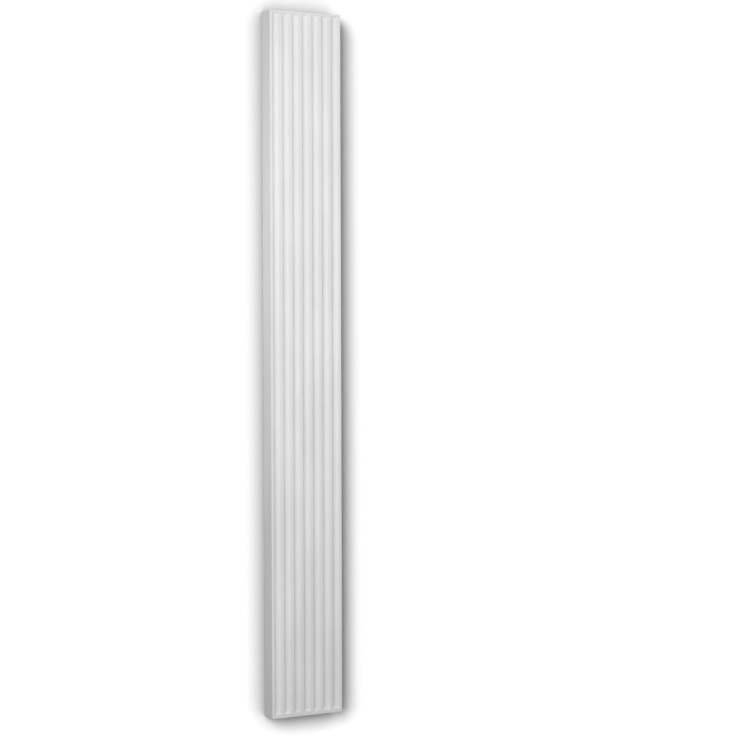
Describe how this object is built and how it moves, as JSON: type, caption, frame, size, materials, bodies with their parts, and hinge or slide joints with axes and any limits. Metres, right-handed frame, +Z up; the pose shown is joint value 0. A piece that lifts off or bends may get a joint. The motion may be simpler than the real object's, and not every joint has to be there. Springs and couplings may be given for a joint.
{
  "type": "pilaster shaft",
  "caption": "Flat-backed pilaster shaft moulded in one length, its face fluted with shallow concave flutes between flat fillets, the flutes stopped square with coved ends inside plain margins.",
  "frame": {"origin": "middle of the flat back face, which is glued or screwed to the wall", "axes": "+Z up along the shaft, -Y out of the fluted face, +Y into the wall, +X to the right of someone facing the flutes"},
  "size_m": [0.224, 0.05, 2],
  "materials": {
    "primed_moulding": "matte white factory primer over a smooth moulded skin"
  },
  "bodies": {
    "root": {"shaft": "primed_moulding"}
  },
  "joints": []
}
